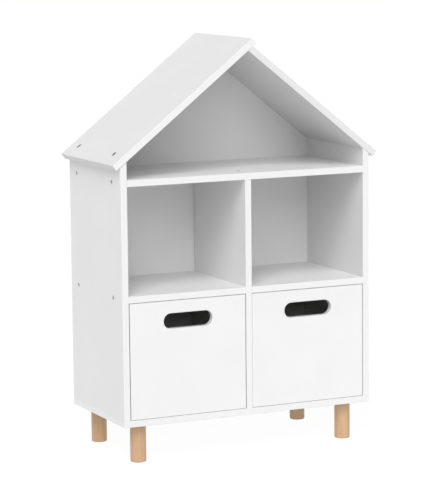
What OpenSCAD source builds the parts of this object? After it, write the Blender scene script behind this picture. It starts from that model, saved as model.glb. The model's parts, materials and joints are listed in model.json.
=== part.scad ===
// House shaped bookcase: an attic and two open compartments over two pull-out bins, on four round legs.
// Millimetres. X runs across the front, Y from the front to the back, and Z is up.
// The origin is on the floor, under the middle of the overall box.

/* [Cabinet] */
// Width over the two side panels
cabinet_w = 620; // [500:5:800]
// Depth of the side panels
cabinet_d = 302; // [240:2:380]
// Thickness of the cabinet's boards
board_t = 15; // [13:0.5:20]
// Clear height of the two bays that hold the bins
bin_bay_h = 265; // [200:0.5:360]
// Clear height of the two open compartments
shelf_bay_h = 244.5; // [150:0.5:340]
// Height of the side panels' inner faces above the top shelf
attic_wall_h = 41.5; // [30:0.5:120]
// How far the divider stands to the right of the middle
divider_shift = 1; // [0:0.5:1]
// Gap between the divider and the back panel
divider_gap_rear = 3; // [1:0.5:5]
// Easing of the boards' visible edges
edge_ease = 0.5; // [0.2:0.1:1]

/* [Roof] */
// Mean slope of the two roof boards, in degrees
roof_pitch = 38.3; // [30:0.1:43]
// How far the ridge lies to the right of the middle, which makes the left board the flatter one
ridge_shift = 3; // [0:0.5:4]
// Thickness of the roof boards
roof_t = 15; // [12:0.5:20]
// How far the roof boards' lower edges reach past the side panels
eave_overhang = 10; // [4:1:40]
// How far the left roof board's end stands past the right board's top face
ridge_lap = 10; // [0:1:20]
// How far the roof stands out past the side panels, at the front and at the back
roof_overhang = 2; // [0:0.5:10]

/* [Back panel] */
// Thickness of the back panel
back_t = 3; // [2.5:0.5:5]
// Depth of board left behind the back panel
back_inset = 20; // [10:1:22]
// Depth of the grooves that hold the back panel
back_groove = 5; // [3:0.5:7]
// Clearance of the back panel in its grooves, on each side
back_clearance = 0.1; // [0.05:0.05:0.3]

/* [Legs] */
// Height of the legs
leg_h = 88; // [60:1:200]
// Diameter of the legs
leg_d = 36; // [28:1:44]
// Rounding of the legs' lower edges
leg_round = 2.5; // [1:0.5:5]
// Distance from a side panel's outer face to the leg's centre
leg_inset_x = 49.5; // [40:0.5:80]
// Distance from the front edge to the front legs' centre
leg_inset_front = 40; // [26:0.5:70]
// Distance from the rear edge to the rear legs' centre
leg_inset_rear = 31.5; // [30:0.5:70]
// Diameter of the double-ended bolts that hold the legs
leg_bolt_d = 8; // [6:1:10]
// Length of those bolts
leg_bolt_l = 48; // [36:1:54]
// Outer diameter of the nuts pressed into the bottom board for those bolts
leg_nut_d = 12; // [12:0.5:14]
// Length of those nuts
leg_nut_l = 11; // [8:1:11]

/* [Bins] */
// Mean gap between a bin's front and the boards at its sides
bin_gap_side = 1.6; // [1.3:0.1:3]
// Gap between a bin's front and the shelf over it
bin_gap_top = 1.2; // [1:0.1:4]
// Gap between a bin's front and the bottom board
bin_gap_bottom = 0.9; // [0.5:0.1:3]
// Clearance between a bin's runner edges and the bottom board
bin_slide_clearance = 0.3; // [0.2:0.05:0.5]
// How far the right bin stands off the middle of its bay, towards the divider
right_bin_shift = 0.6; // [0:0.1:0.6]
// Thickness of the bins' fronts
bin_front_t = 15; // [12:0.5:18]
// Thickness of the bins' sides and backs
bin_side_t = 12; // [10:0.5:15]
// Thickness of the bins' bottom panels
bin_bottom_t = 3; // [3:0.5:5]
// Depth of the grooves that hold the bottom panels
bin_groove = 5; // [3:0.5:6]
// Clearance of the bottom panels in those grooves, on each side
bin_groove_clearance = 0.1; // [0.05:0.05:0.3]
// Height of the bottom panels above the bins' lower edges
bin_bottom_lift = 8; // [6:1:15]
// How far a bin's box stands in from the ends of its front
bin_box_setback = 1.5; // [0.5:0.5:5]
// How far a bin's box stays below its front's top edge
bin_box_drop = 10; // [5:1:17]
// Gap between a bin's back and the back panel
bin_gap_rear = 1; // [0.5:0.5:5]
// Length of the finger slot
slot_w = 120; // [80:1:160]
// Height of the finger slot
slot_h = 35; // [22:1:40]
// Board left over the finger slot
slot_drop = 28.5; // [20:0.5:60]
// Chamfer of the finger slot's edges
slot_chamfer = 1; // [0.5:0.5:2]

/* [Cabinet screws] */
// Distance from the front edge to the front row of cabinet screws
screw_front = 52; // [30:1:80]
// Distance from the rear edge to the rear row of cabinet screws
screw_rear = 43; // [38:0.5:80]
// Length of the cabinet screws
screw_l = 50; // [40:1:60]
// Length of the roof screws
roof_screw_l = 40; // [34:1:46]
// Diameter of the screws' heads
screw_head_d = 10; // [8:0.5:11]
// Height of the screws' tapered heads
screw_head_h = 3; // [2:0.5:4]
// Diameter of the screws' plain shanks
screw_shank_d = 7; // [5:0.5:7.5]
// Length of head and plain shank together
screw_shank_l = 12; // [8:1:16]
// Diameter of the screws' threaded ends
screw_thread_d = 5; // [4:0.5:5]
// Length of the screws' tips
screw_tip_l = 2; // [1:0.5:4]
// Depth of the screws' heads below the board's face
screw_sink = 0.8; // [0.4:0.1:2]
// Width across the flats of the screws' sockets
screw_socket = 4; // [3:0.5:4]
// Depth of the screws' sockets
screw_socket_depth = 2.4; // [1.5:0.1:2.8]

/* [Dowels] */
// Diameter of the wooden dowels
dowel_d = 8; // [6:0.5:8]
// Depth that a dowel reaches into a board's end
dowel_reach = 15; // [12:1:20]
// Board left between a blind dowel and the far face
dowel_skin = 5; // [4:0.5:6]
// Distance from a shelf's front and rear edges to the dowels in its end
shelf_dowel_inset = 80; // [50:1:90]
// Diameter of the dowels in the roof's ridge
ridge_dowel_d = 6; // [4:0.5:6]
// Distance from the roof's front edge to the first dowel in the ridge
ridge_dowel_front = 41; // [30:1:80]
// Distance from the roof's rear edge to the last dowel in the ridge
ridge_dowel_rear = 58; // [45:1:90]

/* [Bin fasteners] */
// Diameter of the dowels behind the bins' fronts
bin_dowel_d = 6; // [5:0.5:8]
// Distance from a side board's lower and upper edges to the outer dowels
bin_dowel_inset = 43; // [30:1:60]
// Distance from a side board's lower and upper edges to the screws into the back
bin_screw_inset = 48; // [30:1:70]
// Length of the bins' screws
bin_screw_l = 35; // [25:1:45]
// Diameter of the bins' screws
bin_screw_d = 4; // [3:0.5:5]
// Diameter of those screws' heads
bin_screw_head_d = 8; // [6:0.5:9]
// Height of those screws' heads
bin_screw_head_h = 2.4; // [2:0.1:3]

/* [Nails] */
// Diameter of the nails
nail_d = 1.6; // [1.2:0.2:2]
// Length of the nails
nail_l = 18; // [12:1:22]
// Diameter of the nails' heads
nail_head_d = 4; // [3:0.5:5]
// Thickness of the nails' heads
nail_head_t = 0.8; // [0.5:0.1:1.2]

/* [Hidden] */
$fn = 48;

board_color = "white";
beech_color = "burlywood";
steel_color = "silver";

// Running clearance of screws and dowels in their holes, and the air at a blind hole's end
hole_clearance = 0.05;
hole_spare = 1;
// Reach of a cut past the face that it opens, and of a cut that takes a whole side away
cut_past = 1;
cut_far = 1200;

front_y = -cabinet_d / 2;
rear_y = cabinet_d / 2;
inner_half_w = cabinet_w / 2 - board_t;
side_mid_x = cabinet_w / 2 - board_t / 2;
shelf_d = cabinet_d - back_inset - back_t;
back_face_y = front_y + shelf_d;

// A side is -1 on the left and 1 on the right
sides = [-1, 1];
// Width of one side's bay between the side panel and the divider, and its middle
function bay_w(side) = inner_half_w - board_t / 2 - side * divider_shift;
function bay_mid_x(side) = (side * (inner_half_w + board_t / 2) + divider_shift) / 2;

bottom_top_z = leg_h + board_t;
shelf_z = bottom_top_z + bin_bay_h;
shelf_top_z = shelf_z + board_t;
top_shelf_z = shelf_top_z + shelf_bay_h;
top_shelf_top_z = top_shelf_z + board_t;
wall_top_z = top_shelf_top_z + attic_wall_h;

roof_d = cabinet_d + 2 * roof_overhang;
roof_rise = tan(roof_pitch) * inner_half_w;
ridge_z = wall_top_z + roof_rise;
// Slope of one side's roof board, and its length from the ridge to the eave
function pitch(side) = atan(roof_rise / (inner_half_w - side * ridge_shift));
function eave_run(side) = (cabinet_w / 2 + eave_overhang - side * ridge_shift) / cos(pitch(side));
// Length of the left board past the ridge line
ridge_run = roof_t / sin(pitch(-1) + pitch(1)) + ridge_lap;

screw_ys = [front_y + screw_front, rear_y - screw_rear];
// A roof screw stands upright in the sloping board, so its head also clears the low side of its hole
function roof_screw_z(side) = ridge_z + roof_t / cos(pitch(side)) - screw_sink
    - tan(pitch(side)) * (side_mid_x - side * ridge_shift + screw_head_d / 2);

shelf_dowel_l = board_t + 2 * dowel_reach;
shelf_dowel_ys = [front_y + shelf_dowel_inset, back_face_y - shelf_dowel_inset];
top_shelf_dowel_l = board_t - dowel_skin + dowel_reach;
ridge_dowel_ys = [ridge_dowel_front - roof_d / 2, 0, roof_d / 2 - ridge_dowel_rear];
ridge_dowel_l = roof_t - dowel_skin + dowel_reach;

bin_w = inner_half_w - board_t / 2 - 2 * bin_gap_side;
bin_front_z = bottom_top_z + bin_gap_bottom;
bin_front_h = bin_bay_h - bin_gap_bottom - bin_gap_top;
bin_box_w = bin_w - 2 * bin_box_setback;
bin_box_z = bottom_top_z + bin_slide_clearance;
bin_box_top_z = bin_front_z + bin_front_h - bin_box_drop;
bin_box_h = bin_box_top_z - bin_box_z;
bin_rear_y = back_face_y - bin_gap_rear;
bin_box_y = front_y + bin_front_t;
bin_side_x = bin_box_w / 2 - bin_side_t / 2;
bin_inner_w = bin_box_w - 2 * bin_side_t;
bin_bottom_z = bin_box_z + bin_bottom_lift;
bin_dowel_l = bin_front_t - dowel_skin + 2 * dowel_reach;
bin_dowel_zs = [bin_box_z + bin_dowel_inset, bin_box_z + bin_box_h / 2, bin_box_top_z - bin_dowel_inset];
bin_screw_zs = [bin_box_z + bin_screw_inset, bin_box_top_z - bin_screw_inset];
bin_nail_xs = [-bin_inner_w / 3, 0, bin_inner_w / 3];
slot_mid_z = bin_front_z + bin_front_h - slot_drop - slot_h / 2;

left_bin_x = bay_mid_x(-1);
right_bin_x = bay_mid_x(1) - right_bin_shift;

// ---- Boards ----

// Rectangle from the origin with its corners eased
module eased_rect(w, h) {
    e = edge_ease;
    polygon([[e, 0], [w - e, 0], [w, e], [w, h - e], [w - e, h], [e, h], [0, h - e], [0, e]]);
}

// Board from the origin whose edges along X are eased
module long_board(size) {
    rotate([90, 0, 90]) linear_extrude(size.x) eased_rect(size.y, size.z);
}

// Board from the origin whose edges along Y are eased
module deep_board(size) {
    translate([0, size.y, 0]) rotate([90, 0, 0]) linear_extrude(size.y) eased_rect(size.x, size.z);
}

// Board from the origin whose edges along Z are eased
module tall_board(size) {
    linear_extrude(size.z) eased_rect(size.x, size.y);
}

// Lying board from the origin, eased along its edges and its ends
module flat_board(size) {
    intersection() {
        long_board(size);
        deep_board(size);
    }
}

// Standing board from the origin, eased round its front and its back face
module face_board(size) {
    intersection() {
        long_board(size);
        tall_board(size);
    }
}

// Puts what is drawn for the left on either side
module on_side(side) {
    mirror([side + 1, 0, 0]) children();
}

// Frame of one side's roof board: X up the slope from the ridge, Z out through the board
module roof_frame(side) {
    on_side(side) translate([-side * ridge_shift, 0, ridge_z]) rotate([0, -pitch(side), 0]) children();
}

// All that lies further out than a given distance above a roof board's underside
module above_roof(side, distance = 0) {
    roof_frame(side) translate([-cut_far / 2, -cut_far / 2, distance]) cube(cut_far);
}

// House shaped panel with its front face at y, grown past the cabinet's inner faces
module house_panel(grow, y, thickness) {
    half_w = inner_half_w + grow;
    low_z = bottom_top_z - grow;
    difference() {
        translate([-half_w, y, low_z]) cube([2 * half_w, thickness, ridge_z + 2 * grow - low_z]);
        for (side = sides) above_roof(side, grow);
    }
}

// Groove round the cabinet for the back panel
module back_groove_cut() {
    house_panel(back_groove, back_face_y - back_clearance, back_t + 2 * back_clearance);
}

// ---- Fasteners: each points down from its head, whose top is at the origin ----

// Screw with a sunk head and a hexagon socket
module screw(length) {
    difference() {
        rotate_extrude() polygon([
            [0, 0], [screw_head_d / 2, 0], [screw_shank_d / 2, -screw_head_h],
            [screw_shank_d / 2, -screw_shank_l], [screw_thread_d / 2, -screw_shank_l],
            [screw_thread_d / 2, screw_tip_l - length], [screw_thread_d / 4, -length], [0, -length]
        ]);
        translate([0, 0, -screw_socket_depth])
            cylinder(d = screw_socket / cos(30), h = screw_socket_depth + cut_past, $fn = 6);
    }
}

// Stepped hole for that screw, open above its head
module screw_hole(length) {
    c = hole_clearance;
    rotate_extrude() polygon([
        [0, screw_head_d], [screw_head_d / 2 + c, screw_head_d], [screw_head_d / 2 + c, 0],
        [screw_shank_d / 2 + c, -screw_head_h], [screw_shank_d / 2 + c, -screw_shank_l - c],
        [screw_thread_d / 2 + c, -screw_shank_l - c], [screw_thread_d / 2 + c, -length - hole_spare],
        [0, -length - hole_spare]
    ]);
}

// Dowel that stands on the origin
module dowel(d, length) {
    cylinder(d = d, h = length);
}

// Hole for that dowel, with air at both ends
module dowel_hole(d, length) {
    translate([0, 0, -hole_spare / 2]) cylinder(d = d + 2 * hole_clearance, h = length + hole_spare);
}

module nail() {
    cylinder(d = nail_head_d, h = nail_head_t);
    translate([0, 0, -nail_l]) cylinder(d = nail_d, h = nail_l);
}

module nail_hole() {
    translate([0, 0, -nail_l - hole_spare])
        cylinder(d = nail_d + 2 * hole_clearance, h = nail_l + hole_spare);
}

// ---- Places of the fasteners ----

// Screws through a side panel into the shelves' ends
module at_side_screws(side) {
    on_side(side)
        for (y = screw_ys)
            for (z = [shelf_z + board_t / 2, top_shelf_z + board_t / 2])
                translate([screw_sink - cabinet_w / 2, y, z]) rotate([0, -90, 0]) children();
}

// Screws through a roof board into the side panel's top
module at_roof_screws(side) {
    on_side(side)
        for (y = screw_ys)
            translate([-side_mid_x, y, roof_screw_z(side)]) children();
}

// Screws through the bottom board into the side panels and the divider
module at_bottom_screws() {
    for (x = [-side_mid_x, divider_shift, side_mid_x])
        for (y = screw_ys)
            translate([x, y, leg_h + screw_sink]) rotate([180, 0, 0]) children();
}

// Screw through the top shelf into the divider
module at_top_shelf_screw() {
    translate([divider_shift, screw_ys[0], top_shelf_top_z - screw_sink]) children();
}

// Dowels from one shelf to the other, through the divider
module at_shelf_dowels() {
    for (y = shelf_dowel_ys)
        translate([divider_shift - shelf_dowel_l / 2, y, shelf_z + board_t / 2]) rotate([0, 90, 0]) children();
}

// Blind dowel between the divider and the top shelf
module at_top_shelf_dowel() {
    translate([divider_shift, screw_ys[1], top_shelf_z - dowel_reach]) children();
}

// Dowels from the left roof board's underside into the right board's sloping end
module at_ridge_dowels() {
    roof_frame(-1)
        for (y = ridge_dowel_ys)
            translate([ridge_run / 2 - ridge_lap / 2, y, -dowel_reach]) children();
}

// Nails through the back panel into the shelves
module at_back_nails() {
    nail_xs = [for (side = sides) for (quarter = [-1, 1]) bay_mid_x(side) + quarter * bay_w(side) / 4];
    for (x = nail_xs)
        for (z = [shelf_z + board_t / 2, top_shelf_z + board_t / 2])
            translate([x, back_face_y + back_t, z]) rotate([-90, 0, 0]) children();
}

// The four legs' axes, from the floor
module at_legs() {
    for (side = sides)
        for (y = [front_y + leg_inset_front, rear_y - leg_inset_rear])
            translate([side * (cabinet_w / 2 - leg_inset_x), y, 0]) children();
}

// ---- Cabinet ----

module side_panel(side) {
    color(board_color) difference() {
        on_side(side) translate([-cabinet_w / 2, front_y, bottom_top_z])
            tall_board([board_t, cabinet_d, wall_top_z - bottom_top_z + cut_past]);
        above_roof(side);
        back_groove_cut();
        at_side_screws(side) screw_hole(screw_l);
        at_roof_screws(side) screw_hole(roof_screw_l);
        at_bottom_screws() screw_hole(screw_l);
    }
}

module bottom_panel() {
    color(board_color) difference() {
        translate([-cabinet_w / 2, front_y, leg_h]) flat_board([cabinet_w, cabinet_d, board_t]);
        back_groove_cut();
        at_bottom_screws() screw_hole(screw_l);
        at_legs() translate([0, 0, leg_h - cut_past])
            cylinder(d = leg_nut_d, h = cut_past + leg_nut_l + hole_spare);
    }
}

module centre_divider() {
    color(board_color) difference() {
        translate([divider_shift - board_t / 2, front_y, bottom_top_z])
            tall_board([board_t, shelf_d - divider_gap_rear, top_shelf_z - bottom_top_z]);
        at_shelf_dowels() dowel_hole(dowel_d, shelf_dowel_l);
        at_top_shelf_dowel() dowel_hole(dowel_d, top_shelf_dowel_l);
        at_top_shelf_screw() screw_hole(screw_l);
        at_bottom_screws() screw_hole(screw_l);
    }
}

// Shelf over a bin, between a side panel and the divider
module shelf(side) {
    color(board_color) difference() {
        on_side(side) translate([-inner_half_w, front_y, shelf_z]) long_board([bay_w(side), shelf_d, board_t]);
        at_side_screws(side) screw_hole(screw_l);
        at_shelf_dowels() dowel_hole(dowel_d, shelf_dowel_l);
        at_back_nails() nail_hole();
    }
}

module top_shelf() {
    color(board_color) difference() {
        translate([-inner_half_w, front_y, top_shelf_z]) long_board([2 * inner_half_w, shelf_d, board_t]);
        for (side = sides) at_side_screws(side) screw_hole(screw_l);
        at_top_shelf_screw() screw_hole(screw_l);
        at_top_shelf_dowel() dowel_hole(dowel_d, top_shelf_dowel_l);
        at_back_nails() nail_hole();
    }
}

module back_panel() {
    color(board_color) difference() {
        house_panel(back_groove - back_clearance, back_face_y, back_t);
        at_back_nails() nail_hole();
    }
}

// Roof board that runs from the eave to a given distance past the ridge line
module roof_blank(side, past_ridge) {
    roof_frame(side) translate([-eave_run(side), -roof_d / 2, 0])
        flat_board([eave_run(side) + past_ridge, roof_d, roof_t]);
}

module left_roof_panel() {
    color(board_color) difference() {
        roof_blank(-1, ridge_run);
        back_groove_cut();
        at_roof_screws(-1) screw_hole(roof_screw_l);
        at_ridge_dowels() dowel_hole(ridge_dowel_d, ridge_dowel_l);
    }
}

// The right board's end is bevelled to lie flat under the left board
module right_roof_panel() {
    color(board_color) difference() {
        roof_blank(1, roof_t);
        above_roof(-1);
        back_groove_cut();
        at_roof_screws(1) screw_hole(roof_screw_l);
        at_ridge_dowels() dowel_hole(ridge_dowel_d, ridge_dowel_l);
    }
}

// Round leg with a bore for its bolt
module leg(side, y) {
    r = leg_d / 2;
    bore_l = leg_bolt_l - leg_nut_l + hole_spare;
    color(beech_color) translate([side * (cabinet_w / 2 - leg_inset_x), y, 0]) difference() {
        rotate_extrude() {
            translate([0, leg_round]) square([r, leg_h - leg_round]);
            square([r - leg_round, leg_round]);
            translate([r - leg_round, leg_round]) circle(leg_round);
        }
        translate([0, 0, leg_h - bore_l])
            cylinder(d = leg_bolt_d + 2 * hole_clearance, h = bore_l + cut_past);
    }
}

module leg_bolts() {
    color(steel_color) at_legs() translate([0, 0, leg_h + leg_nut_l - leg_bolt_l])
        cylinder(d = leg_bolt_d, h = leg_bolt_l);
}

module leg_insert_nuts() {
    color(steel_color) at_legs() translate([0, 0, leg_h]) difference() {
        cylinder(d = leg_nut_d, h = leg_nut_l);
        translate([0, 0, -cut_past])
            cylinder(d = leg_bolt_d + 2 * hole_clearance, h = leg_nut_l + 2 * cut_past);
    }
}

module side_screws() {
    color(steel_color)
        for (side = sides) at_side_screws(side) screw(screw_l);
}

module roof_screws() {
    color(steel_color)
        for (side = sides) at_roof_screws(side) screw(roof_screw_l);
}

module top_shelf_screw() {
    color(steel_color) at_top_shelf_screw() screw(screw_l);
}

module bottom_screws() {
    color(steel_color) at_bottom_screws() screw(screw_l);
}

module shelf_dowels() {
    color(beech_color) at_shelf_dowels() dowel(dowel_d, shelf_dowel_l);
}

module top_shelf_dowel() {
    color(beech_color) at_top_shelf_dowel() dowel(dowel_d, top_shelf_dowel_l);
}

module ridge_dowels() {
    color(beech_color) at_ridge_dowels() dowel(ridge_dowel_d, ridge_dowel_l);
}

module back_panel_nails() {
    color(steel_color) at_back_nails() nail();
}

// ---- Bins: every piece of a bin is drawn about x = 0 and moved to its bay ----

// Dowels from the front into the side boards' ends
module at_bin_dowels() {
    for (x = [-bin_side_x, bin_side_x])
        for (z = bin_dowel_zs)
            translate([x, front_y + dowel_skin, z]) rotate([-90, 0, 0]) children();
}

// Screws through the side boards into the back board's ends
module at_bin_screws() {
    for (side = sides)
        for (z = bin_screw_zs)
            on_side(side) translate([-bin_box_w / 2, bin_rear_y - bin_side_t / 2, z])
                rotate([0, -90, 0]) children();
}

// Nails through the bottom panel into the back board
module at_bin_nails() {
    for (x = bin_nail_xs)
        translate([x, bin_rear_y - bin_side_t / 2, bin_bottom_z]) rotate([180, 0, 0]) children();
}

module bin_screw() {
    rotate_extrude() polygon([
        [0, 0], [bin_screw_head_d / 2, 0], [bin_screw_d / 2, -bin_screw_head_h],
        [bin_screw_d / 2, screw_tip_l - bin_screw_l], [0, -bin_screw_l]
    ]);
}

module bin_screw_hole() {
    c = hole_clearance;
    rotate_extrude() polygon([
        [0, cut_past], [bin_screw_head_d / 2 + c, cut_past], [bin_screw_head_d / 2 + c, 0],
        [bin_screw_d / 2 + c, -bin_screw_head_h], [bin_screw_d / 2 + c, -bin_screw_l - hole_spare],
        [0, -bin_screw_l - hole_spare]
    ]);
}

// Groove for the bottom panel, round the inside of the box
module bin_groove_cut() {
    c = bin_groove_clearance;
    translate([-bin_inner_w / 2 - bin_groove, bin_box_y - bin_groove, bin_bottom_z - c])
        cube([bin_inner_w + 2 * bin_groove, bin_rear_y - bin_box_y + bin_groove + cut_past, bin_bottom_t + 2 * c]);
}

// Finger slot along X through a board that starts at the origin's Y, with chamfers at both faces
module slot_cut(thickness) {
    r = slot_h / 2;
    e = slot_chamfer;
    straight = slot_w - slot_h;
    // Half height of the slot against the depth into the board
    flare = [[r + e + cut_past, -cut_past], [r, e], [r, thickness - e], [r + e + cut_past, thickness + cut_past]];
    for (x = [-straight / 2, straight / 2])
        translate([x, 0, 0]) rotate([-90, 0, 0])
            rotate_extrude() polygon(concat([[0, -cut_past]], flare, [[0, thickness + cut_past]]));
    translate([-straight / 2, 0, 0]) rotate([90, 0, 90]) linear_extrude(straight)
        polygon(concat([for (p = flare) [p.y, p.x]], [for (i = [3:-1:0]) [flare[i].y, -flare[i].x]]));
}

module bin_front() {
    color(board_color) difference() {
        translate([-bin_w / 2, front_y, bin_front_z]) face_board([bin_w, bin_front_t, bin_front_h]);
        translate([0, front_y, slot_mid_z]) slot_cut(bin_front_t);
        bin_groove_cut();
        at_bin_dowels() dowel_hole(bin_dowel_d, bin_dowel_l);
    }
}

module bin_side(side) {
    color(board_color) difference() {
        on_side(side) translate([-bin_box_w / 2, bin_box_y, bin_box_z])
            deep_board([bin_side_t, bin_rear_y - bin_box_y, bin_box_h]);
        bin_groove_cut();
        at_bin_dowels() dowel_hole(bin_dowel_d, bin_dowel_l);
        at_bin_screws() bin_screw_hole();
    }
}

module bin_back() {
    back_z = bin_bottom_z + bin_bottom_t;
    color(board_color) difference() {
        translate([-bin_inner_w / 2, bin_rear_y - bin_side_t, back_z])
            long_board([bin_inner_w, bin_side_t, bin_box_top_z - back_z]);
        at_bin_screws() bin_screw_hole();
        at_bin_nails() nail_hole();
    }
}

module bin_bottom() {
    reach = bin_groove - bin_groove_clearance;
    color(board_color) difference() {
        translate([-bin_inner_w / 2 - reach, bin_box_y - reach, bin_bottom_z])
            cube([bin_inner_w + 2 * reach, bin_rear_y - bin_box_y + reach, bin_bottom_t]);
        at_bin_nails() nail_hole();
    }
}

module bin_dowels() {
    color(beech_color) at_bin_dowels() dowel(bin_dowel_d, bin_dowel_l);
}

module bin_screws() {
    color(steel_color) at_bin_screws() bin_screw();
}

module bin_nails() {
    color(steel_color) at_bin_nails() nail();
}

module left_bin() {
    translate([left_bin_x, 0, 0]) children();
}

module right_bin() {
    translate([right_bin_x, 0, 0]) children();
}

side_panel(-1);  // left_side_panel
side_panel(1);  // right_side_panel
bottom_panel();
centre_divider();
shelf(-1);  // left_shelf
shelf(1);  // right_shelf
top_shelf();
back_panel();
left_roof_panel();
right_roof_panel();
leg(-1, front_y + leg_inset_front);  // front_left_leg
leg(1, front_y + leg_inset_front);  // front_right_leg
leg(-1, rear_y - leg_inset_rear);  // rear_left_leg
leg(1, rear_y - leg_inset_rear);  // rear_right_leg
leg_bolts();
leg_insert_nuts();
side_screws();
roof_screws();
top_shelf_screw();
bottom_screws();
shelf_dowels();
top_shelf_dowel();
ridge_dowels();
back_panel_nails();
left_bin() bin_front();  // left_bin_front
left_bin() bin_side(-1);  // left_bin_left_side
left_bin() bin_side(1);  // left_bin_right_side
left_bin() bin_back();  // left_bin_back
left_bin() bin_bottom();  // left_bin_bottom
left_bin() bin_dowels();  // left_bin_dowels
left_bin() bin_screws();  // left_bin_screws
left_bin() bin_nails();  // left_bin_nails
right_bin() bin_front();  // right_bin_front
right_bin() bin_side(-1);  // right_bin_left_side
right_bin() bin_side(1);  // right_bin_right_side
right_bin() bin_back();  // right_bin_back
right_bin() bin_bottom();  // right_bin_bottom
right_bin() bin_dowels();  // right_bin_dowels
right_bin() bin_screws();  // right_bin_screws
right_bin() bin_nails();  // right_bin_nails
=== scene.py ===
# Looks of the house shaped bookcase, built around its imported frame. Metres, in the frame of the part:
# X across the front, Y from the front to the back, Z up, origin on the floor under the middle.
import json
import math

import bpy
from mathutils import Matrix, Vector

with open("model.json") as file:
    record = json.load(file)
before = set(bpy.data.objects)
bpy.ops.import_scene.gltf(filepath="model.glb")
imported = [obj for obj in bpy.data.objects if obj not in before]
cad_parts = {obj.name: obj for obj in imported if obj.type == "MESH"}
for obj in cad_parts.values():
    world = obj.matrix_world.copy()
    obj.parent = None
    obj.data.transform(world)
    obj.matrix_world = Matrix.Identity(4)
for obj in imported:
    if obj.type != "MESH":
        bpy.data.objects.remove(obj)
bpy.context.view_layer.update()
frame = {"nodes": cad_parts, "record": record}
NODES = frame["nodes"]
MM = 0.001

# ---- Colours, as linear values ----

# Whites of a board's two large faces, of its strips at front and back, and of its ends
BOARD_WHITES = (0.785, 0.785, 0.785)
# The few boards with whites of their own, set board by board to the tone that the light gives each one,
# such as a lighter left side and bottom board ends and a darker right side, roof and left eave end:
# partly the boards' own small differences in tone, partly painted light and shade
WHITES_WITH_PAINTED_LIGHT = {
    "left_side_panel": (0.83, 0.785, 0.83),
    "right_side_panel": (0.742, 0.785, 0.742),
    "bottom_panel": (0.785, 0.78, 0.85),
    "left_roof_panel": (0.76, 0.79, 0.685),
    "right_roof_panel": (0.71, 0.72, 0.71),
    "left_bin_front": (0.797, 0.785, 0.68),
    "right_bin_front": (0.797, 0.785, 0.68),
}
HARDBOARD_WHITE = 0.815
# What a white is multiplied by where it is clouded
CLOUDED = 0.975
# The chipboard inside the boards, bare in their holes
CHIP_LIGHT = (0.30, 0.26, 0.22)
CHIP_DARK = (0.11, 0.095, 0.08)
BEECH_LIGHT = (0.61, 0.398, 0.238)
BEECH_DARK = (0.49, 0.297, 0.162)
BEECH_FLECK = (0.35, 0.195, 0.10)
ZINC = (0.64, 0.645, 0.655)
# A near black copy of the zinc, for the screw in the top shelf alone: painted shade of its sunk hole,
# which the other screws of the same zinc don't get
PAINTED_SHADE_ZINC = (0.10, 0.10, 0.102)
# What a zinc is multiplied by in the dark strokes of its brushing
BRUSHED = 0.85
# Tint of a zinc at grazing angles
ZINC_EDGE = 1.0
# The near black copy's grazing tint is near black too, which paints its reflection out as shade
PAINTED_SHADE_ZINC_EDGE = 0.12

# ---- Gloss: roughness as its range over a surface's grain, and specular level ----

LAMINATE_ROUGHNESS = (0.40, 0.50)
HARDBOARD_ROUGHNESS = (0.46, 0.58)
LACQUERED_ROUGHNESS = (0.38, 0.50)
RAW_WOOD_ROUGHNESS = (0.60, 0.75)
ZINC_ROUGHNESS = (0.28, 0.42)
LAMINATE_SPECULAR = 0.3

# ---- Boards ----

# Thickness of the white skin over the chipboard
SKIN = 0.27 * MM
FRONT = (0.0, -1.0, 0.0)
# Cosine past which a face counts as looking along a way
ALONG = 0.5

# ---- Camera, fitted to the photograph ----

CAMERA_AT = (-2.2601, -4.7877, 1.2137)
# How it is turned about the vertical, tilted from level and rolled, in degrees
CAMERA_TURN = -25.239
CAMERA_TILT = -8.162
CAMERA_ROLL = -0.571
# Sensor width and focal length, in millimetres
SENSOR = 36.0
LENS = 167.764
# How far it sees
CAMERA_REACH = 100.0

# ---- Light ----

# Soft lamps far off, as (name, degrees round from the front towards +X, degrees up, irradiance)
LAMPS = [
    ("low_front_lamp", -20, 22, 0.43),
    ("front_lamp", -20, 38, 0.55),
    ("high_front_lamp", -20, 54, 0.48),
    ("left_lamp", -40, 38, 0.53),
    ("high_left_lamp", -40, 54, 0.67),
    ("rear_lamp", 135, 25, 0.8),
]
# How wide each lamp looks, in degrees
LAMP_ANGLE = 20
# Strength of the background's light on surfaces
WORLD_LIGHT = 0.37
FLOOR_SIZE = 60.0
# The floor's light on the object, as of a pale light table: the share of the light on it that it
# throws back, and the strength of its own soft light
FLOOR_PALE = 0.45
FLOOR_LIGHT = 0.42
# What the camera sees of the floor: a white glow, and the share that takes shadows
FLOOR_GLOW = 0.94
FLOOR_SHADED = 0.07

# ---- Building blocks of the node materials ----

# Range in which nearly all values of a noise texture lie
NOISE_RANGE = (0.3, 0.7)
# Numbers of a Mix node's colour sockets, which share their names with its other sockets
MIX_FACTOR, MIX_A, MIX_B = 0, 6, 7
MIX_RESULT = 2


def grey(value):
    return (value, value, value)


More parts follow.
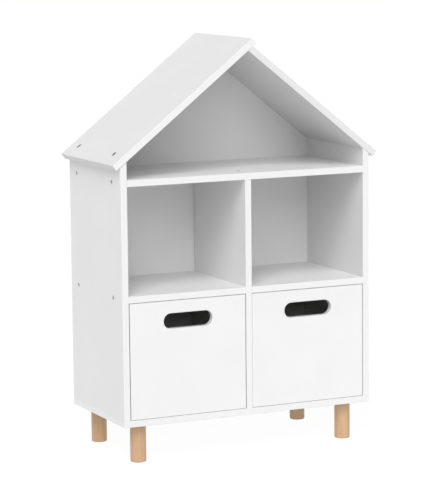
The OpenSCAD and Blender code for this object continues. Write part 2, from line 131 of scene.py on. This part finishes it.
class Tree:
    """Adds nodes to a material or a world, and links them."""

    def __init__(self, owner):
        owner.use_nodes = True
        self.owner = owner
        self.node_tree = owner.node_tree
        self.node_tree.nodes.clear()

    def feed(self, socket, value):
        """Sets a socket to a number, a vector or a colour, or links it to another node's output."""
        if isinstance(value, bpy.types.NodeSocket):
            self.node_tree.links.new(value, socket)
        elif socket.type == "RGBA":
            socket.default_value = (*value, 1.0)
        else:
            socket.default_value = value

    def add(self, kind, inputs=None, **settings):
        """A node of that kind, with its settings and what its inputs are fed with."""
        node = self.node_tree.nodes.new("ShaderNode" + kind)
        for key, value in settings.items():
            setattr(node, key, value)
        for key, value in (inputs or {}).items():
            self.feed(node.inputs[key], value)
        return node

    def math(self, operation, a, b=0.0):
        return self.add("Math", {0: a, 1: b}, operation=operation).outputs[0]

    def spread(self, value, span=NOISE_RANGE, to=(0.0, 1.0)):
        """A value's range, the span, stretched to another one."""
        ends = {"From Min": span[0], "From Max": span[1], "To Min": to[0], "To Max": to[1]}
        return self.add("MapRange", {"Value": value, **ends}).outputs["Result"]

    def mixed(self, factor, a, b):
        """The colour a, going over to b with the factor."""
        inputs = {MIX_FACTOR: factor, MIX_A: a, MIX_B: b}
        return self.add("Mix", inputs, data_type="RGBA").outputs[MIX_RESULT]


class SurfaceTree(Tree):
    """The nodes of one of the object's materials."""

    def __init__(self, name):
        super().__init__(bpy.data.materials.new(name))
        where = self.add("TexCoord")
        self.coords = where.outputs["Object"]
        self.normal = where.outputs["Normal"]

    def long_coords(self, share):
        """The object's coordinates, with Z reduced to a share, so that a texture is long along Z."""
        inputs = {"Vector": self.coords, "Scale": (1.0, 1.0, share)}
        return self.add("Mapping", inputs).outputs["Vector"]

    def noise(self, vector, scale, detail=2.0, roughness=0.5):
        inputs = {"Vector": vector, "Scale": scale, "Detail": detail, "Roughness": roughness}
        return self.add("TexNoise", inputs).outputs["Fac"]

    def clouded(self, white, scale):
        """A white with the faintest clouding."""
        clouds = self.spread(self.noise(self.coords, scale=scale, detail=3.0))
        return self.mixed(clouds, grey(white), grey(CLOUDED * white))

    def bump(self, height, strength, distance, under=None):
        """The normal of a surface with that height on it, over the bumps under it."""
        inputs = {"Height": height, "Strength": strength, "Distance": distance}
        if under is not None:
            inputs["Normal"] = under
        return self.add("Bump", inputs).outputs["Normal"]

    def finish(self, color, roughness, normal, **fixed):
        """The material. Its fixed inputs, with _ for the spaces in their names, are the same all over."""
        inputs = {"Base Color": color, "Roughness": roughness, "Normal": normal}
        inputs.update((key.replace("_", " "), value) for key, value in fixed.items())
        shader = self.add("BsdfPrincipled", inputs)
        self.add("OutputMaterial", {"Surface": shader.outputs[0]})
        return self.owner


# ---- Boards: white skin, edge strips, and chipboard in their holes ----

def large_face_normal(node):
    """The way in which one of a board's two large faces looks."""
    return max(NODES[node].data.polygons, key=lambda face: face.area).normal.copy()


def turn_to_axes(node):
    """How far a board is turned about Y to lie along the axes."""
    normal = large_face_normal(node)
    return 0.0 if abs(normal.y) > ALONG else -math.atan2(normal.x, normal.z)


def board_box(node):
    """Middle and half size of a board, once it is turned to the axes."""
    turn = Matrix.Rotation(turn_to_axes(node), 3, "Y")
    points = [turn @ vertex.co for vertex in NODES[node].data.vertices]
    low = Vector(min(point[axis] for point in points) for axis in range(3))
    high = Vector(max(point[axis] for point in points) for axis in range(3))
    return (low + high) / 2, (high - low) / 2


def depth_in_board(tree, node):
    """How deep a point lies inside the board's outer faces: nothing on them, and more in a hole."""
    middle, half = board_box(node)
    turn = (0.0, turn_to_axes(node), 0.0)
    turned = tree.add("Mapping", {"Vector": tree.coords, "Rotation": turn, "Location": -middle})
    away = tree.add("VectorMath", {0: turned.outputs["Vector"]}, operation="ABSOLUTE").outputs[0]
    depth = tree.add("VectorMath", {0: half, 1: away}, operation="SUBTRACT").outputs[0]
    depths = tree.add("SeparateXYZ", {0: depth}).outputs
    return tree.math("MINIMUM", tree.math("MINIMUM", depths[0], depths[1]), depths[2])


def looks_along(tree, way):
    """1 on faces that look along a way or straight against it, and 0 on those that look across it."""
    facing = tree.add("VectorMath", {0: tree.normal, 1: way}, operation="DOT_PRODUCT").outputs["Value"]
    return tree.math("GREATER_THAN", tree.math("ABSOLUTE", facing), ALONG)


def chipboard(tree):
    """Pressed chips of light and dark wood."""
    chips = tree.add("TexVoronoi", {"Vector": tree.coords, "Scale": 900.0}).outputs["Color"]
    return tree.mixed(tree.add("SeparateXYZ", {0: chips}).outputs[0], CHIP_DARK, CHIP_LIGHT)


def board(slot, node):
    """White laminated board: a satin skin with a fine pebbled grain and the faintest clouding."""
    tree = SurfaceTree(slot + "_" + node)
    # The boards listed with whites of their own take whites with painted light and shade in them
    white, strip_white, end_white = WHITES_WITH_PAINTED_LIGHT.get(node, BOARD_WHITES)
    grain = tree.noise(tree.coords, scale=1400.0, roughness=0.6)
    waves = tree.noise(tree.coords, scale=60.0, detail=1.0)
    skin = tree.mixed(looks_along(tree, FRONT), grey(end_white), grey(strip_white))
    skin = tree.mixed(looks_along(tree, large_face_normal(node)), skin, tree.clouded(white, scale=9.0))
    # A bin front's finger slot is white inside, and the holes of the other boards are bare
    if slot == "white_board":
        inside = tree.math("GREATER_THAN", depth_in_board(tree, node), SKIN)
        skin = tree.mixed(inside, skin, chipboard(tree))
    roughness = tree.spread(grain, to=LAMINATE_ROUGHNESS)
    wavy = tree.bump(waves, strength=0.04, distance=0.3 * MM)
    normal = tree.bump(grain, strength=0.10, distance=0.10 * MM, under=wavy)
    return tree.finish(skin, roughness, normal, Specular_IOR_Level=LAMINATE_SPECULAR)


# ---- Other materials ----

def hardboard(name):
    """Thin white faced hardboard, smooth, with the finest fibres."""
    tree = SurfaceTree(name)
    color = tree.clouded(HARDBOARD_WHITE, scale=14.0)
    fibres = tree.noise(tree.coords, scale=900.0, detail=3.0, roughness=0.7)
    normal = tree.bump(fibres, strength=0.12, distance=0.12 * MM)
    return tree.finish(color, tree.spread(fibres, to=HARDBOARD_ROUGHNESS), normal)


def beech(name, roughness_range):
    """Beech, its grain along Z: soft growth bands, fine grain and the short dark flecks of its rays."""
    tree = SurfaceTree(name)
    bands = tree.noise(tree.long_coords(0.06), scale=90.0, detail=3.0, roughness=0.55)
    grain = tree.noise(tree.long_coords(0.035), scale=700.0, detail=3.0, roughness=0.6)
    cells = tree.add("TexVoronoi", {"Vector": tree.long_coords(0.18), "Scale": 900.0})
    dashes = tree.spread(cells.outputs["Distance"], span=(0.10, 0.22), to=(1.0, 0.0))
    patches = tree.noise(tree.coords, scale=400.0, detail=1.0)
    some = tree.spread(patches, span=(0.50, 0.62), to=(0.0, 0.55))
    wood = tree.mixed(tree.spread(bands, span=(0.35, 0.65), to=(0.0, 0.7)), BEECH_LIGHT, BEECH_DARK)
    wood = tree.mixed(tree.spread(grain, span=(0.40, 0.75), to=(0.0, 0.35)), wood, BEECH_DARK)
    wood = tree.mixed(tree.math("MULTIPLY", dashes, some), wood, BEECH_FLECK)
    normal = tree.bump(grain, strength=0.12, distance=0.10 * MM)
    return tree.finish(wood, tree.spread(grain, to=roughness_range), normal)


def zinc(name, tone, edge_tone):
    """Zinc plated steel, dulled and finely brushed, with another tone at grazing angles."""
    tree = SurfaceTree(name)
    brushing = tree.noise(tree.long_coords(0.2), scale=2500.0)
    dark_tone = tuple(BRUSHED * channel for channel in tone)
    color = tree.mixed(tree.spread(brushing), tone, dark_tone)
    roughness = tree.spread(brushing, to=ZINC_ROUGHNESS)
    normal = tree.bump(brushing, strength=0.15, distance=0.03 * MM)
    return tree.finish(color, roughness, normal, Metallic=1.0, Specular_Tint=grey(edge_tone))


# By material slot, or by node where one differs from its slot; each laminated board has its own
MATERIALS = {
    "white_hardboard": hardboard("white_hardboard"),
    "beech_leg": beech("beech_leg", LACQUERED_ROUGHNESS),
    "dowel_wood": beech("dowel_wood", RAW_WOOD_ROUGHNESS),
    "zinc_steel": zinc("zinc_steel", ZINC, ZINC_EDGE),
    # The top shelf's screw gets the near black copy of the zinc: painted shade
    "top_shelf_screw": zinc("dark_zinc", PAINTED_SHADE_ZINC, PAINTED_SHADE_ZINC_EDGE),
}


def dress(node, slot):
    """Gives a node of the frame its material."""
    materials = NODES[node].data.materials
    materials.clear()
    materials.append(MATERIALS.get(node) or MATERIALS.get(slot) or board(slot, node))


# ---- Floor and background, white to the camera, with the object's shadow on the floor ----

def shown_ray(tree):
    """1 for rays of the camera, mirrors and glass, and 0 for the light that surfaces pass on."""
    path = tree.add("LightPath")
    glossy = tree.math("MAXIMUM", path.outputs["Is Camera Ray"], path.outputs["Is Glossy Ray"])
    return tree.math("MAXIMUM", glossy, path.outputs["Is Transmission Ray"])


def floor_material():
    """The floor as it lights the object, and as the camera sees it."""
    tree = Tree(bpy.data.materials.new("studio_floor"))
    lit = []
    for share, strength in ((FLOOR_PALE, FLOOR_LIGHT), (FLOOR_SHADED, FLOOR_GLOW)):
        diffuse = tree.add("BsdfDiffuse", {"Color": grey(share)})
        emission = tree.add("Emission", {"Color": grey(1.0), "Strength": strength})
        lit.append(tree.add("AddShader", {0: diffuse.outputs[0], 1: emission.outputs[0]}).outputs[0])
    both = tree.add("MixShader", {0: shown_ray(tree), 1: lit[0], 2: lit[1]})
    tree.add("OutputMaterial", {"Surface": both.outputs[0]})
    return tree.owner


def make_floor():
    half = FLOOR_SIZE / 2
    corners = [(-half, -half, 0), (half, -half, 0), (half, half, 0), (-half, half, 0)]
    mesh = bpy.data.meshes.new("studio_floor")
    mesh.from_pydata(corners, [], [(0, 1, 2, 3)])
    mesh.materials.append(floor_material())
    floor = bpy.data.objects.new("studio_floor", mesh)
    bpy.context.scene.collection.objects.link(floor)


def make_world():
    tree = Tree(bpy.data.worlds.new("studio"))
    strength = tree.spread(shown_ray(tree), span=(0.0, 1.0), to=(WORLD_LIGHT, 1.0))
    background = tree.add("Background", {"Color": grey(1.0), "Strength": strength})
    tree.add("OutputWorld", {"Surface": background.outputs[0]})
    bpy.context.scene.world = tree.owner


def make_lamp(name, azimuth, elevation, irradiance):
    """A sun lamp, of which only the direction counts: it shines against its own Z."""
    light = bpy.data.lights.new(name, "SUN")
    light.energy = irradiance
    light.angle = math.radians(LAMP_ANGLE)
    lamp = bpy.data.objects.new(name, light)
    around, up = math.radians(azimuth), math.radians(elevation)
    to_lamp = Vector((math.sin(around) * math.cos(up), -math.cos(around) * math.cos(up), math.sin(up)))
    lamp.rotation_mode = "QUATERNION"
    lamp.rotation_quaternion = to_lamp.to_track_quat("Z", "Y")
    bpy.context.scene.collection.objects.link(lamp)


def make_camera():
    """The camera, which looks straight down until it is turned by 90 degrees to look level."""
    data = bpy.data.cameras.new("camera")
    data.sensor_width = SENSOR
    data.lens = LENS
    data.clip_end = CAMERA_REACH
    camera = bpy.data.objects.new("camera", data)
    bpy.context.scene.collection.objects.link(camera)
    turn = Matrix.Rotation(math.radians(CAMERA_TURN), 4, "Z")
    tilt = Matrix.Rotation(math.radians(90 + CAMERA_TILT), 4, "X")
    roll = Matrix.Rotation(math.radians(CAMERA_ROLL), 4, "Z")
    camera.matrix_world = Matrix.Translation(CAMERA_AT) @ turn @ tilt @ roll
    bpy.context.scene.camera = camera


for subpart in frame["record"]["subparts"]:
    dress(subpart["node"], subpart["material_slot"])
make_floor()
make_world()
for lamp_values in LAMPS:
    make_lamp(*lamp_values)
make_camera()
bpy.context.scene.view_settings.view_transform = "Standard"
